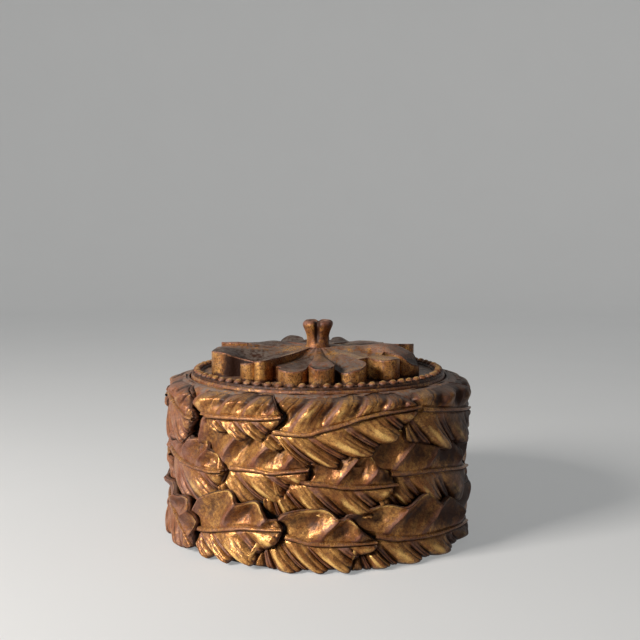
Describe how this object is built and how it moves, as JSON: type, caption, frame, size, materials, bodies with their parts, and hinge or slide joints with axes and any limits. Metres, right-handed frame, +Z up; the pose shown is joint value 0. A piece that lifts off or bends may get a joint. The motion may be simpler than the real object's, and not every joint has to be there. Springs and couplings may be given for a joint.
{
  "type": "lidded bowl",
  "caption": "Round carved and gilded wooden bowl clad in overlapping leaves, with a beaded lift-off lid that carries a carved flower and a bud-shaped knob.",
  "frame": {"origin": "middle of the flat underside that the bowl stands on", "axes": "+Z up along the bowl's axis, -Y towards the pictured front, +X to its right"},
  "size_m": [0.2691, 0.2685, 0.1835],
  "materials": {
    "gilt_leaves": "worn gold leaf over brown clay, dark in the hollows",
    "gilt_rim": "worn gold leaf, dusty on top",
    "gilt_lid": "worn gold leaf, dusty on top",
    "gilt_beads": "worn gold leaf",
    "gilt_petals": "worn gold leaf, dusty on top",
    "gilt_knob": "worn gold leaf",
    "bare_wood": "bare turned wood, oiled"
  },
  "bodies": {
    "bowl": {"drum_wall": "bare_wood", "base_board": "bare_wood", "rim_ring": "gilt_rim", "upper_leaf_1": "gilt_leaves", "upper_leaf_2": "gilt_leaves", "upper_leaf_3": "gilt_leaves", "upper_leaf_4": "gilt_leaves", "upper_leaf_5": "gilt_leaves", "upper_leaf_6": "gilt_leaves", "upper_leaf_7": "gilt_leaves", "upper_leaf_8": "gilt_leaves", "upper_leaf_9": "gilt_leaves", "middle_leaf_1": "gilt_leaves", "middle_leaf_2": "gilt_leaves", "middle_leaf_3": "gilt_leaves", "middle_leaf_4": "gilt_leaves", "middle_leaf_5": "gilt_leaves", "middle_leaf_6": "gilt_leaves", "middle_leaf_7": "gilt_leaves", "middle_leaf_8": "gilt_leaves", "middle_leaf_9": "gilt_leaves", "lower_leaf_1": "gilt_leaves", "lower_leaf_2": "gilt_leaves", "lower_leaf_3": "gilt_leaves", "lower_leaf_4": "gilt_leaves", "lower_leaf_5": "gilt_leaves", "lower_leaf_6": "gilt_leaves", "lower_leaf_7": "gilt_leaves", "lower_leaf_8": "gilt_leaves", "lower_leaf_9": "gilt_leaves"},
    "lid": {"lid_board": "gilt_lid", "bead_border": "gilt_beads", "lid_petal_1": "gilt_petals", "lid_petal_2": "gilt_petals", "lid_petal_3": "gilt_petals", "lid_petal_4": "gilt_petals", "lid_petal_5": "gilt_petals", "lid_petal_6": "gilt_petals", "knob": "gilt_knob", "knob_dowel": "bare_wood"}
  },
  "joints": [
    {"name": "lid_lift", "type": "slide", "parent": "bowl", "child": "lid", "axis": [0, 0, 1], "range_m": [0, 0.12]}
  ]
}
